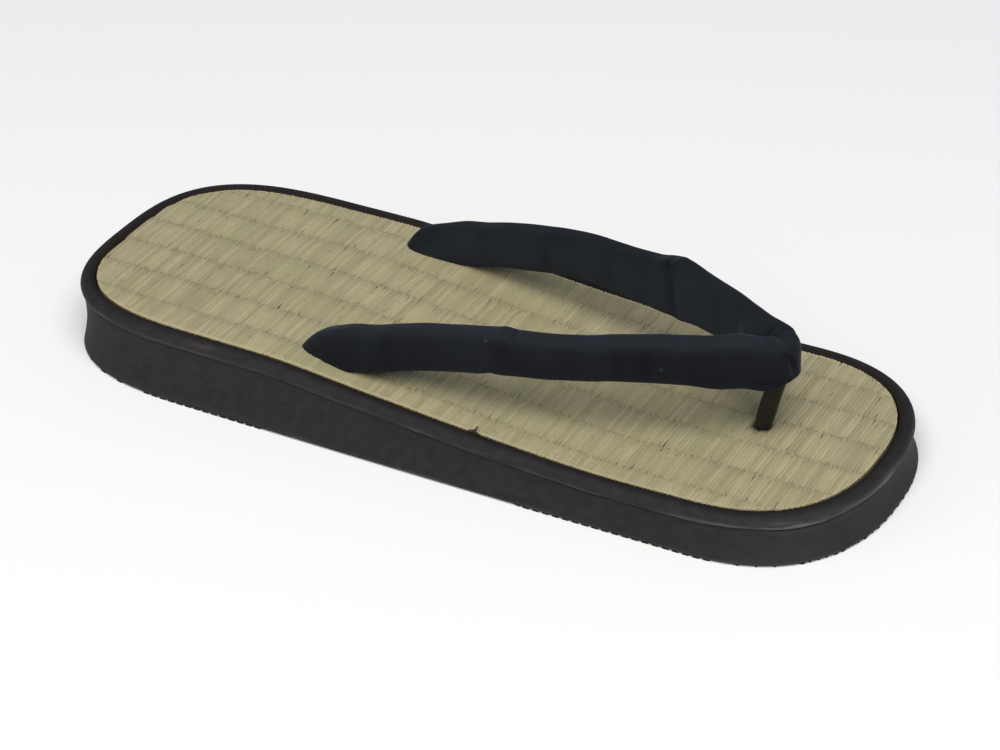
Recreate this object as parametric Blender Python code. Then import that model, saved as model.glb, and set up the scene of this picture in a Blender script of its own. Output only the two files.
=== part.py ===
"""Zori sandal: a moulded foam sole, a woven rush insole, padded straps joined at the toe, and a toe post.

Metres, +Z up. The origin is on the floor under the middle of the sole, and +X points to the toe.
"""
import math
from collections import namedtuple

import bmesh
import bpy
from mathutils import Vector

# Sole from above: the outer edge of its rim, with squared rounds at heel and toe
SOLE_LENGTH = 0.2700
HEEL_HALF_WIDTH = 0.0482
BALL_HALF_WIDTH = 0.0479
SIDE_BULGE = 0.0005
HEEL_ROUND_LENGTH = 0.0600
TOE_ROUND_LENGTH = 0.0475
HEEL_SQUARENESS = 2.75
TOE_SQUARENESS = 2.40

# Sole from the side: height of the insole's top over the floor at the heel and at the ball
HEEL_HEIGHT = 0.0234
BALL_HEIGHT = 0.0144

# Rim and side wall
RIM_WIDTH = 0.0049
RIM_CROWN = 0.0004
BEAD_RADIUS = 0.0025
CREASE_DEPTH = 0.0007
FOOT_FLARE = 0.00125
FOOT_EDGE = 0.0008
WAIST_SHARE = 0.055
RIM_EDGE = 0.0004

# Insole
INSOLE_THICKNESS = 0.0020
INSOLE_EDGE = 0.0005

# Straps: a padded tube that stands on edge, of this depth and thickness
STRAP_DEPTH = 0.0148
STRAP_THICKNESS = 0.0088
STRAP_RISE = 0.0260
STRAP_SQUARENESS = 2.4
TAIL_SPACE_SHARE = 0.5
NOSE_SHARE = 0.8500
NOSE_BEND = 0.0047
PINCH_LENGTH = 0.0090
PINCH_DIP = 0.0035
PINCH_OVERLAP = 0.0010

# Toe post
POST_DIAMETER = 0.0054
POST_SHARE = 0.8437
POST_LEAN = math.radians(15.0)
POST_ROOT = 0.0090
POST_SOCKET = 0.0065

# What stands clear of its neighbour, and how finely the rounds are cut
CLEARANCE = 0.0003
END_STEPS = 14
SIDE_STEPS = 16
STRAP_SIDES = 16
SPAN_STEPS = 2
POST_SIDES = 24

Level = namedtuple("Level", "along lift")
TOP_LINE = (
    Level(0.00, 1.04),
    Level(0.15, 1.01),
    Level(0.30, 0.98),
    Level(0.44, 0.64),
    Level(0.59, 0.25),
    Level(0.74, 0.00),
    Level(0.89, 0.06),
    Level(1.00, 0.12),
)

Foot = namedtuple("Foot", "along flare")
FOOT_LINE = (
    Foot(0.00, 0.15),
    Foot(0.12, 0.70),
    Foot(0.30, 1.00),
    Foot(1.00, 0.85),
)

# Strap sections from the buried end to the toe: place along the sole, distance out as a share of the half
# width, rise over the insole as a share of the strap's rise, lean from flat in degrees, and depth as a share
# of the strap's depth
Section = namedtuple("Section", "along out rise lean depth")
RIGHT_STRAP = (
    Section(0.337, 0.650, -0.480, 86, 0.96),
    Section(0.344, 0.654, -0.340, 86, 0.97),
    Section(0.354, 0.662, -0.165, 86, 0.99),
    Section(0.367, 0.674, -0.005, 86, 1.01),
    Section(0.381, 0.688, 0.115, 85, 1.02),
    Section(0.409, 0.700, 0.273, 84, 1.00),
    Section(0.440, 0.694, 0.381, 84, 0.98),
    Section(0.481, 0.669, 0.531, 84, 0.97),
    Section(0.530, 0.644, 0.681, 85, 0.96),
    Section(0.578, 0.615, 0.800, 86, 0.97),
    Section(0.626, 0.563, 0.856, 88, 0.92),
    Section(0.674, 0.494, 0.923, 90, 0.92),
    Section(0.711, 0.431, 0.988, 92, 0.96),
    Section(0.748, 0.356, 1.008, 93, 1.00),
    Section(0.781, 0.281, 1.006, 93, 1.02),
    Section(0.806, 0.210, 0.993, 92, 1.06),
    Section(0.829, 0.140, 0.980, 91, 1.08),
)
LEFT_STRAP = (
    Section(0.331, 0.690, -0.480, 90, 0.96),
    Section(0.338, 0.692, -0.340, 90, 0.97),
    Section(0.348, 0.696, -0.165, 90, 0.98),
    Section(0.360, 0.702, -0.010, 90, 0.99),
    Section(0.375, 0.706, 0.105, 88, 1.00),
    Section(0.405, 0.706, 0.260, 86, 0.99),
    Section(0.440, 0.694, 0.381, 85, 0.98),
    Section(0.481, 0.669, 0.531, 84, 1.03),
    Section(0.530, 0.644, 0.681, 85, 1.03),
    Section(0.578, 0.615, 0.795, 86, 1.08),
    Section(0.626, 0.563, 0.860, 88, 1.19),
    Section(0.674, 0.494, 0.920, 90, 1.24),
    Section(0.708, 0.437, 0.990, 92, 1.36),
    Section(0.742, 0.368, 1.008, 93, 1.17),
    Section(0.781, 0.281, 1.006, 93, 1.08),
    Section(0.806, 0.210, 0.990, 92, 1.07),
    Section(0.829, 0.140, 0.980, 91, 1.08),
)

# The bend in which the straps meet: degrees round from the toe, and depth as a share of the strap's depth
Bend = namedtuple("Bend", "degrees depth")
NOSE_LINE = (
    Bend(-90, 1.08),
    Bend(-45, 1.01),
    Bend(0, 0.88),
    Bend(45, 1.01),
    Bend(90, 1.08),
)
NOSE_RISE_SHARE = 0.970

COLOURS = {
    "sole": (0.034, 0.032, 0.034, 0.85),
    "insole_mat": (0.36, 0.32, 0.19, 0.75),
    "straps": (0.012, 0.015, 0.022, 0.95),
    "toe_post": (0.022, 0.021, 0.020, 0.80),
}


def smooth(table, column, at):
    """One column of a table at a place along it, on a smooth curve that never overshoots its rows."""
    along = [row.along for row in table]
    value = [getattr(row, column) for row in table]
    at = min(max(at, along[0]), along[-1])
    span = next(k for k in range(len(along) - 1) if at <= along[k + 1])
    slopes = [(value[k + 1] - value[k]) / (along[k + 1] - along[k]) for k in range(len(along) - 1)]

    def tangent(k):
        if k == 0 or k == len(slopes):
            return slopes[min(k, len(slopes) - 1)]
        before, after = slopes[k - 1], slopes[k]
        return 0.0 if before * after <= 0.0 else 2.0 * before * after / (before + after)

    width = along[span + 1] - along[span]
    t = (at - along[span]) / width
    start = value[span] * (2 * t ** 3 - 3 * t ** 2 + 1) + tangent(span) * width * (t ** 3 - 2 * t ** 2 + t)
    end = value[span + 1] * (3 * t ** 2 - 2 * t ** 3) + tangent(span + 1) * width * (t ** 3 - t ** 2)
    return start + end


def along_of(x):
    """Place along the sole from heel, 0, to toe, 1."""
    return x / SOLE_LENGTH + 0.5


def x_of(along):
    return (along - 0.5) * SOLE_LENGTH


def insole_top(x):
    """Height of the insole's upper surface at x."""
    return BALL_HEIGHT + (HEEL_HEIGHT - BALL_HEIGHT) * smooth(TOP_LINE, "lift", along_of(x))


def half_width(x):
    """Half width of the sole where its sides run straight."""
    start = -0.5 * SOLE_LENGTH + HEEL_ROUND_LENGTH
    end = 0.5 * SOLE_LENGTH - TOE_ROUND_LENGTH
    t = min(max((x - start) / (end - start), 0.0), 1.0)
    return HEEL_HALF_WIDTH + (BALL_HALF_WIDTH - HEEL_HALF_WIDTH) * t + SIDE_BULGE * 4 * t * (1 - t)


def half_outline():
    """The rim's outer edge from heel to toe on the +Y side: a straight side between two squared rounds."""
    points = []
    for k in range(END_STEPS):
        turn = 0.5 * math.pi * k / END_STEPS
        reach = math.cos(turn) ** (2 / HEEL_SQUARENESS)
        points.append((-0.5 * SOLE_LENGTH + HEEL_ROUND_LENGTH * (1 - reach),
                       HEEL_HALF_WIDTH * math.sin(turn) ** (2 / HEEL_SQUARENESS)))
    start = -0.5 * SOLE_LENGTH + HEEL_ROUND_LENGTH
    end = 0.5 * SOLE_LENGTH - TOE_ROUND_LENGTH
    for k in range(SIDE_STEPS + 1):
        x = start + (end - start) * k / SIDE_STEPS
        points.append((x, half_width(x)))
    for k in range(END_STEPS - 1, -1, -1):
        turn = 0.5 * math.pi * k / END_STEPS
        reach = math.cos(turn) ** (2 / TOE_SQUARENESS)
        points.append((0.5 * SOLE_LENGTH - TOE_ROUND_LENGTH * (1 - reach),
                       BALL_HALF_WIDTH * math.sin(turn) ** (2 / TOE_SQUARENESS)))
    return [Vector(point) for point in points]


def outline_ring(grow, height):
    """The outline grown by grow(x) and lifted to height(x): heel tip, +Y side, toe tip, -Y side."""
    edge = half_outline()
    last = len(edge) - 1
    side = []
    for k, point in enumerate(edge):
        if k == 0 or k == last:
            outward = Vector((-1.0 if k == 0 else 1.0, 0.0))
        else:
            run = (edge[k + 1] - edge[k - 1]).normalized()
            outward = Vector((-run.y, run.x))
        moved = point + outward * grow(point.x)
        side.append(Vector((moved.x, moved.y, height(moved.x))))
    mirrored = [Vector((p.x, -p.y, p.z)) for p in reversed(side[1:-1])]
    return side + mirrored


def new_object(name, mesh, collection):
    thing = bpy.data.objects.new(name, mesh)
    collection.objects.link(thing)
    return thing


def mesh_of(name, bm):
    """A finished mesh with its faces pointing out and its round parts smooth."""
    bmesh.ops.recalc_face_normals(bm, faces=bm.faces[:])
    mesh = bpy.data.meshes.new(name)
    bm.to_mesh(mesh)
    bm.free()
    mesh.shade_smooth()
    mesh.set_sharp_from_angle(angle=math.radians(40))
    return mesh


def join_rings(bm, rings):
    """Walls between neighbouring rings, returned with the rings' vertices."""
    loops = [[bm.verts.new(point) for point in ring] for ring in rings]
    count = len(loops[0])
    for low, high in zip(loops, loops[1:]):
        for k in range(count):
            bm.faces.new((low[k], low[(k + 1) % count], high[(k + 1) % count], high[k]))
    return loops


def close_across(bm, loop):
    """Closes an outline ring with strips that run from one side straight to the other."""
    count = len(loop)
    half = count // 2
    bm.faces.new((loop[0], loop[1], loop[count - 1]))
    for k in range(1, half - 1):
        bm.faces.new((loop[k], loop[k + 1], loop[count - k - 1], loop[count - k]))
    bm.faces.new((loop[half - 1], loop[half], loop[half + 1]))


def crease_height(x):
    """Height of the crease under the rim's bead."""
    drop = math.sqrt(BEAD_RADIUS ** 2 - (BEAD_RADIUS - CREASE_DEPTH) ** 2)
    return insole_top(x) + RIM_CROWN - BEAD_RADIUS - drop


def foot_flare(x):
    return FOOT_FLARE * smooth(FOOT_LINE, "flare", along_of(x))


def wall_grow(share):
    """How far the side wall stands out at a share of its height, drawn in at its waist."""
    def grow(x):
        straight = foot_flare(x) * (1 - share) - CREASE_DEPTH * share
        return straight - WAIST_SHARE * crease_height(x) * math.sin(math.pi * share)
    return grow


def wall_height(share):
    return lambda x: FOOT_EDGE + (crease_height(x) - FOOT_EDGE) * share


def build_sole(collection):
    """Foam sole: flat underneath, waisted wall, crease, rounded rim, and a recess for the insole."""
    rings = [outline_ring(lambda x: foot_flare(x) - FOOT_EDGE, lambda x: 0.0)]
    for share in (0.0, 0.25, 0.5, 0.75, 1.0):
        rings.append(outline_ring(wall_grow(share), wall_height(share)))
    crease_angle = -math.acos(1 - CREASE_DEPTH / BEAD_RADIUS)
    bead_steps = 5
    for k in range(1, bead_steps + 1):
        turn = crease_angle + (0.5 * math.pi - crease_angle) * k / bead_steps
        grow = -BEAD_RADIUS * (1 - math.cos(turn))
        rise = RIM_CROWN - BEAD_RADIUS * (1 - math.sin(turn))
        rings.append(outline_ring(lambda x, g=grow: g, lambda x, r=rise: insole_top(x) + r))
    rings.append(outline_ring(lambda x: RIM_EDGE - RIM_WIDTH, lambda x: insole_top(x) + RIM_CROWN))
    rings.append(outline_ring(lambda x: -RIM_WIDTH, lambda x: insole_top(x) + RIM_CROWN - RIM_EDGE))
    rings.append(outline_ring(lambda x: -RIM_WIDTH, lambda x: insole_top(x) - INSOLE_THICKNESS - CLEARANCE))
    bm = bmesh.new()
    loops = join_rings(bm, rings)
    close_across(bm, loops[0])
    close_across(bm, loops[-1])
    return new_object("sole", mesh_of("sole", bm), collection)


def build_insole(collection):
    """Woven mat that lies in the sole's recess and follows its wedge."""
    inset = RIM_WIDTH + CLEARANCE
    rings = [
        outline_ring(lambda x: -inset, lambda x: insole_top(x) - INSOLE_THICKNESS),
        outline_ring(lambda x: -inset, lambda x: insole_top(x) - INSOLE_EDGE),
        outline_ring(lambda x: -inset - INSOLE_EDGE, insole_top),
    ]
    bm = bmesh.new()
    loops = join_rings(bm, rings)
    close_across(bm, loops[0])
    close_across(bm, loops[-1])
    return new_object("insole_mat", mesh_of("insole_mat", bm), collection)


Station = namedtuple("Station", "centre depth lean")


def strap_station(row, side):
    """A strap section in the sole's frame, on the +Y side where side is 1."""
    x = x_of(row.along)
    centre = Vector((x, side * row.out * half_width(x), insole_top(x) + row.rise * STRAP_RISE))
    return Station(centre, STRAP_DEPTH * row.depth, math.radians(row.lean))


def nose_centre():
    """Middle of the bend in which the two straps meet."""
    x = x_of(NOSE_SHARE)
    return Vector((x, 0.0, insole_top(x) + NOSE_RISE_SHARE * STRAP_RISE))


def nose_reach():
    """Half the depth of the straps where they come into the bend."""
    return 0.5 * STRAP_DEPTH * NOSE_LINE[0].depth


def nose_stations():
    """The bend at the toe, from the -Y strap round to the +Y strap."""
    centre = nose_centre()
    stations = []
    for row in NOSE_LINE:
        turn = math.radians(row.degrees)
        place = centre + Vector((math.cos(turn), math.sin(turn), 0.0)) * NOSE_BEND
        stations.append(Station(place, STRAP_DEPTH * row.depth, math.radians(90)))
    return stations


def between(rows, t):
    """Catmull-Rom value between the middle two of four rows."""
    a, b, c, d = rows
    bend = (2 * a - 5 * b + 4 * c - d) * t ** 2 + (3 * b - a - 3 * c + d) * t ** 3
    return 0.5 * (2 * b + (c - a) * t + bend)


def fine_stations(stations):
    """The same run of stations, with each span cut into equal steps on a smooth curve."""
    run = [stations[0], *stations, stations[-1]]
    fine = []
    for k in range(1, len(run) - 2):
        four = run[k - 1:k + 3]
        for step in range(SPAN_STEPS):
            t = step / SPAN_STEPS
            fine.append(Station(*(between([row[column] for row in four], t) for column in range(3))))
    return [*fine, stations[-1]]


def strap_rings(stations, spare):
    """Oval sections square to the run, each grown by a spare distance all round and at both ends."""
    rings = []
    last = len(stations) - 1
    for k, station in enumerate(stations):
        run = (stations[min(k + 1, last)].centre - stations[max(k - 1, 0)].centre).normalized()
        outward = run.cross(Vector((0.0, 0.0, 1.0))).normalized()
        upward = outward.cross(run)
        down = outward * math.cos(station.lean) - upward * math.sin(station.lean)
        across = outward * math.sin(station.lean) + upward * math.cos(station.lean)
        centre = station.centre + run * spare * ((k == last) - (k == 0))
        ring = []
        for step in range(STRAP_SIDES):
            turn = 2 * math.pi * step / STRAP_SIDES
            reach = 2 / STRAP_SQUARENESS
            along_depth = math.copysign(abs(math.cos(turn)) ** reach, math.cos(turn))
            along_thickness = math.copysign(abs(math.sin(turn)) ** reach, math.sin(turn))
            ring.append(centre + down * along_depth * (0.5 * station.depth + spare)
                        + across * along_thickness * (0.5 * STRAP_THICKNESS + spare))
        rings.append(ring)
    return rings


def tube_mesh(name, rings):
    bm = bmesh.new()
    loops = join_rings(bm, rings)
    bm.faces.new(loops[0])
    bm.faces.new(list(reversed(loops[-1])))
    return mesh_of(name, bm)


def combine(target, other, operation):
    """Joins another shape to a piece, or cuts it away."""
    step = target.modifiers.new(f"{operation.title()} {other.name}", "BOOLEAN")
    step.operation = operation
    step.solver = "EXACT"
    step.object = other


def build_pinch(collection):
    """The folded cloth between the straps, just behind their bend."""
    nose = nose_centre()
    back = nose.x - PINCH_LENGTH
    out_at_back = smooth(RIGHT_STRAP, "out", along_of(back)) * half_width(back)
    wide = out_at_back - 0.5 * STRAP_THICKNESS + PINCH_OVERLAP
    narrow = NOSE_BEND - 0.5 * STRAP_THICKNESS + PINCH_OVERLAP
    top = nose.z + nose_reach() - PINCH_DIP
    bottom = nose.z - nose_reach() + PINCH_DIP
    front = nose.x + PINCH_OVERLAP
    corners = ((back, -wide), (front, -narrow), (front, narrow), (back, wide))
    bm = bmesh.new()
    loops = join_rings(bm, [[Vector((x, y, z)) for x, y in corners] for z in (bottom, top)])
    bm.faces.new(loops[0])
    bm.faces.new(loops[-1])
    return new_object("pinch", mesh_of("pinch", bm), collection)


def build_straps(collection, helpers):
    """One padded tube: up from the sole's -Y side, round the bend at the toe and back down on the +Y side."""
    right = [strap_station(row, -1) for row in RIGHT_STRAP]
    left = [strap_station(row, 1) for row in reversed(LEFT_STRAP)]
    stations = fine_stations(right + nose_stations() + left)
    straps = new_object("straps", tube_mesh("straps", strap_rings(stations, 0.0)), collection)
    combine(straps, build_pinch(helpers), "UNION")
    return straps


def build_tail_space(table, side, name, collection):
    """The room that a strap's end takes in the insole and the sole, with its clearance."""
    buried = [strap_station(row, side) for row in table if row.rise < TAIL_SPACE_SHARE]
    stations = fine_stations(buried if side < 0 else buried[::-1])
    return new_object(name, tube_mesh(name, strap_rings(stations, CLEARANCE)), collection)


def post_axis():
    """The toe post's foot on the insole, and the direction in which it rises."""
    x = x_of(POST_SHARE)
    foot = Vector((x, 0.0, insole_top(x)))
    return foot, Vector((math.sin(POST_LEAN), 0.0, math.cos(POST_LEAN)))


def post_cylinder(name, spare, collection):
    """A cylinder on the post's axis, grown by a spare distance all round and at both ends."""
    foot, rise = post_axis()
    strap_bottom = nose_centre().z - nose_reach()
    top = (strap_bottom - foot.z) / rise.z + POST_SOCKET + spare
    bottom = -POST_ROOT - spare
    bm = bmesh.new()
    bmesh.ops.create_cone(bm, cap_ends=True, segments=POST_SIDES, radius1=0.5 * POST_DIAMETER + spare,
                          radius2=0.5 * POST_DIAMETER + spare, depth=top - bottom)
    post = new_object(name, mesh_of(name, bm), collection)
    post.location = foot + rise * 0.5 * (top + bottom)
    post.rotation_euler = (0.0, POST_LEAN, 0.0)
    return post


def paint(thing):
    """Gives a piece its own material."""
    red, green, blue, roughness = COLOURS[thing.name]
    material = bpy.data.materials.new(thing.name)
    material.use_nodes = True
    shader = material.node_tree.nodes["Principled BSDF"]
    shader.inputs["Base Color"].default_value = (red, green, blue, 1.0)
    shader.inputs["Roughness"].default_value = roughness
    shader.inputs["Metallic"].default_value = 0.0
    thing.data.materials.append(material)


def new_collection(name):
    collection = bpy.data.collections.new(name)
    bpy.context.scene.collection.children.link(collection)
    return collection


def main():
    for thing in list(bpy.data.objects):
        bpy.data.objects.remove(thing, do_unlink=True)
    pieces = new_collection("Zori sandal")
    helpers = new_collection("Cutters")

    sole = build_sole(pieces)
    insole = build_insole(pieces)
    straps = build_straps(pieces, helpers)
    post = post_cylinder("toe_post", 0.0, pieces)

    for table, side, name in ((RIGHT_STRAP, -1, "right_tail_space"), (LEFT_STRAP, 1, "left_tail_space")):
        space = build_tail_space(table, side, name, helpers)
        combine(sole, space, "DIFFERENCE")
        combine(insole, space, "DIFFERENCE")
    post_space = post_cylinder("post_space", CLEARANCE, helpers)
    for piece in (sole, insole, straps):
        combine(piece, post_space, "DIFFERENCE")

    for helper in helpers.objects:
        helper.hide_render = True
        helper.display_type = "WIRE"
    for piece in (sole, insole, straps, post):
        paint(piece)


main()
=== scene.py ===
"""Zori sandal: its finished surfaces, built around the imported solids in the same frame, in metres.

+X runs from heel to toe, +Y to the left of that, +Z up from the floor. The sole's middle is over the origin.
"""

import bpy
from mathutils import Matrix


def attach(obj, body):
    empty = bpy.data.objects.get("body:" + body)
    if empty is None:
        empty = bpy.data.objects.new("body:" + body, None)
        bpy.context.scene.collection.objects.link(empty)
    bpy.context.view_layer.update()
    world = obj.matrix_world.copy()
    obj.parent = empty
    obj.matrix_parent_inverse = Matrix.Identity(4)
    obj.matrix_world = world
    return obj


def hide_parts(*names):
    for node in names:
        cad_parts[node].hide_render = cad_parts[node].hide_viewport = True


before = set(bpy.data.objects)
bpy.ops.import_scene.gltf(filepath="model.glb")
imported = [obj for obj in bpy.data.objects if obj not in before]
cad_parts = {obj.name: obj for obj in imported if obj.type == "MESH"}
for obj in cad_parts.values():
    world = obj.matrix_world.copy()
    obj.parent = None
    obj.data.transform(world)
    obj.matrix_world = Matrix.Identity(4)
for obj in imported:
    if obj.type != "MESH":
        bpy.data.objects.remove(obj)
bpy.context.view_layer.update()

import math
from collections import namedtuple
from functools import partial

import bpy
import numpy as np
from mathutils import Quaternion, Vector

bl_info = {
    "name": "Zori Sandal",
    "version": (1, 0, 0),
    "blender": (4, 5, 0),
    "location": "3D View > Sidebar > Zori",
    "description": "Builds a zori sandal with a foam sole, a rush mat and velvet straps",
    "category": "Object",
}

MM = 0.001


def table(kind, *rows):
    """Named rows from plain numbers."""
    return [kind(*row) for row in rows]


# Outline of the sole: half widths, squareness of the rounds and how far they reach from each tip
SOLE_LENGTH = 0.2700
HEEL_HALF_WIDTH = 0.0482
BALL_HALF_WIDTH = 0.0479
SIDE_BULGE = 0.0005
HEEL_ROUND_LENGTH = 0.0600
TOE_ROUND_LENGTH = 0.0475
HEEL_SQUARENESS = 2.92
TOE_SQUARENESS = 2.40
SIDE_START = -0.5 * SOLE_LENGTH + HEEL_ROUND_LENGTH
SIDE_END = 0.5 * SOLE_LENGTH - TOE_ROUND_LENGTH

# Wedge, rim and side wall
HEEL_HEIGHT = 0.0234
BALL_HEIGHT = 0.0144
RIM_WIDTH = 0.0049
RIM_CROWN = 0.0004
BEAD_RADIUS = 0.0025
CREASE_DEPTH = 0.0007
FOOT_FLARE = 0.00125
WAIST_SHARE = 0.055
INSOLE_THICKNESS = 0.0020

# Straps: a padded tube that stands on edge
STRAP_DEPTH = 0.0148
STRAP_THICKNESS = 0.0088
STRAP_RISE = 0.0260
NOSE_SHARE = 0.8500
NOSE_RISE_SHARE = 0.970
NOSE_BEND = 0.0047
NOSE_PLACE = 0.150

# Toe post
POST_DIAMETER = 0.0054
POST_SHARE = 0.8437
POST_LEAN = math.radians(15.0)
POST_ROOT = 0.0090
POST_SOCKET = 0.0065

# Height of the insole along the sole, as a share of the way from ball to heel
Lift = namedtuple("Lift", "along lift")
TOP_LINE = table(
    Lift,
    (0, 1.04), (0.15, 1.01), (0.3, 0.98), (0.44, 0.64), (0.59, 0.25),
    (0.74, 0), (0.89, 0.06), (1, 0.12),
)

# How far the wall's foot stands out along the sole, as a share of its flare
Foot = namedtuple("Foot", "along flare")
FOOT_LINE = table(Foot, (0, 0.75), (0.12, 1), (0.8, 1), (0.93, 1.42), (1, 1.05))

# Strap sections: place along the sole, distance out as a share of its half width, rise over the insole as a
# share of the strap's rise, lean from flat in degrees, and depth as a share of the strap's depth
Section = namedtuple("Section", "along out rise lean depth")
RIGHT_STRAP = table(
    Section,
    (0.337, 0.65, -0.48, 86, 0.96), (0.344, 0.654, -0.34, 86, 0.97),
    (0.354, 0.662, -0.165, 86, 0.99), (0.367, 0.674, -0.005, 86, 1.01),
    (0.381, 0.688, 0.115, 85, 1.02), (0.409, 0.7, 0.273, 84, 1),
    (0.44, 0.694, 0.381, 84, 0.98), (0.481, 0.669, 0.531, 84, 0.97),
    (0.53, 0.644, 0.681, 85, 0.96), (0.578, 0.615, 0.8, 86, 0.97),
    (0.626, 0.563, 0.856, 88, 0.92), (0.674, 0.494, 0.923, 90, 0.92),
    (0.711, 0.431, 0.988, 92, 0.96), (0.748, 0.356, 1.008, 93, 1),
    (0.781, 0.281, 1.006, 93, 1.02), (0.806, 0.21, 0.993, 92, 1.06),
    (0.829, 0.14, 0.98, 91, 1.08),
)
LEFT_STRAP = table(
    Section,
    (0.331, 0.69, -0.48, 90, 0.96), (0.338, 0.692, -0.34, 90, 0.97),
    (0.348, 0.696, -0.165, 90, 0.98), (0.36, 0.702, -0.01, 90, 0.99),
    (0.375, 0.706, 0.105, 88, 1), (0.405, 0.706, 0.26, 86, 0.99),
    (0.44, 0.694, 0.381, 85, 0.98), (0.481, 0.669, 0.531, 84, 1.03),
    (0.53, 0.644, 0.681, 85, 1.03), (0.578, 0.615, 0.79, 86, 1.02),
    (0.626, 0.563, 0.846, 88, 1.08), (0.674, 0.494, 0.918, 90, 1.2),
    (0.708, 0.437, 0.99, 92, 1.36), (0.742, 0.368, 1.008, 93, 1.17),
    (0.781, 0.281, 1.006, 93, 1.08), (0.806, 0.21, 0.99, 92, 1.07),
    (0.829, 0.14, 0.98, 91, 1.08),
)
Bend = namedtuple("Bend", "degrees depth")
NOSE_LINE = table(Bend, (-90, 1.08), (-45, 1.01), (0, 0.88), (45, 1.01), (90, 1.08))

# Folds of the straps, each a soft trough, or a ridge where its depth is below zero. Place is how far short of
# the toe tip it lies as a share of the sole, below zero on the -Y strap, and the bend runs through zero. Face
# is its middle round the section in degrees: 0 underside, 90 outer face, 180 top edge, 270 inner face. Slant
# is how far its place shifts over 90 degrees of face. Spread is in degrees, width and depth in millimetres.
Fold = namedtuple("Fold", "place face slant spread width depth")
STRAP_FOLDS = table(
    Fold,
    # -Y strap: the raised tuck on its top edge and the dip in front of it
    (-0.412, 178, 0.004, 50, 1.9, -0.65), (-0.399, 180, 0.002, 45, 0.8, 0.55),
    (-0.412, 95, 0.01, 70, 2.2, 0.28), (-0.428, 20, 0, 55, 2, 0.4),
    # its shallow waves, and the swell where the padding is pushed together
    (-0.545, 110, 0.012, 80, 3.4, 0.25), (-0.34, 100, -0.01, 80, 3, 0.22),
    (-0.287, 95, 0.008, 75, 1.8, 0.3), (-0.245, 180, 0, 60, 4, -0.2),
    (-0.262, 95, 0.006, 70, 1.6, 0.32), (-0.205, 170, 0, 60, 2.2, 0.35),
    # the bend: the tuck that sweeps down its front, the corner under it and the lip over the post
    (-0.035, 98, -0.095, 48, 0.65, 0.85), (-0.06, 112, -0.08, 40, 1.1, -0.15),
    (0.02, 56, 0, 30, 1.5, -0.45), (-0.055, 26, 0, 36, 0.8, 0.85),
    (-0.115, 70, 0, 16, 4.2, 0.4), (-0.13, 38, 0, 26, 4.6, -0.55),
    (-0.01, 12, 0, 52, 2.6, 1.05), (-0.19, 5, 0, 50, 8, -0.95),
    (0.148, 222, 0.014, 60, 0.6, 0.45), (-0.632, 42, 0, 62, 6, 1.25),
    (0.635, 190, 0, 62, 6, -1.25), (0.43, 350, 0, 50, 11, -0.35),
    (-0.172, 255, 0, 60, 3.4, -1.6), (0.172, 255, 0, 60, 3.4, -1.6),
    (-0.165, 168, -0.01, 40, 2.6, -0.35), (-0.11, 180, 0.02, 40, 0.9, 0.45),
    (0.075, 150, 0.05, 55, 0.7, 0.55), (0.105, 95, -0.06, 60, 0.8, 0.6),
    # +Y strap: the sharp kink with the fold line under it, and the facet that is lifted in front
    (0.293, 262, -0.012, 75, 2.4, 0.6), (0.27, 265, -0.01, 55, 4, -0.45),
    (0.299, 205, 0, 40, 1.2, 0.45), (0.291, 182, 0, 35, 1.2, -0.45),
    (0.296, 90, 0.01, 75, 1.7, 0.6), (0.3, 0, 0, 55, 2.4, 0.55),
    # its soft upright trough, the steps along its lower edge and the waves towards the tail
    (0.474, 272, 0.006, 75, 3, 0.5),
    (0.455, 355, 0, 50, 1.6, 0.45), (0.545, 350, 0, 55, 2.4, 0.4),
    (0.56, 255, 0.014, 70, 3.4, 0.25), (0.385, 265, -0.01, 75, 3.2, 0.25),
    (0.335, 280, 0.008, 60, 2.2, 0.22), (0.225, 255, -0.02, 65, 2.4, 0.3),
    (0.47, 90, 0.008, 75, 2.2, 0.45), (0.37, 95, -0.008, 75, 3, 0.3),
)

# Studs: half diagonal at root and tip as a share of their size, and rows on each side of the middle
STUD_ROOT = 0.7071
STUD_TIP = 0.58
STUD_ROWS = 26

# Mat: lengthwise lines of its warp by distance from the middle, spacing and how far they run out of square,
# first and last row of stalks between them, and a stalk's height as a share of its width
WARP_FIRST = 0.0204
WARP_SPACING = 0.0137
WARP_SKEW = -0.024
FIRST_ROW = -5
LAST_ROW = 1
STALK_FLATNESS = 0.45


def rgb(code):
    """Linear red, green and blue of an sRGB hex colour."""
    values = [int(code[k:k + 2], 16) / 255 for k in (1, 3, 5)]
    return tuple(v / 12.92 if v <= 0.04045 else ((v + 0.055) / 1.055) ** 2.4 for v in values)


def colour(name, code, description):
    """A colour property whose default is an sRGB hex colour."""
    return bpy.props.FloatVectorProperty(name=name, description=description, subtype="COLOR", size=3,
                                         min=0.0, max=1.0, default=rgb(code))


def length(name, value, description):
    """A length property in metres."""
    return bpy.props.FloatProperty(name=name, description=description, default=value, min=0.0,
                                   precision=5, unit="LENGTH")


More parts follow.
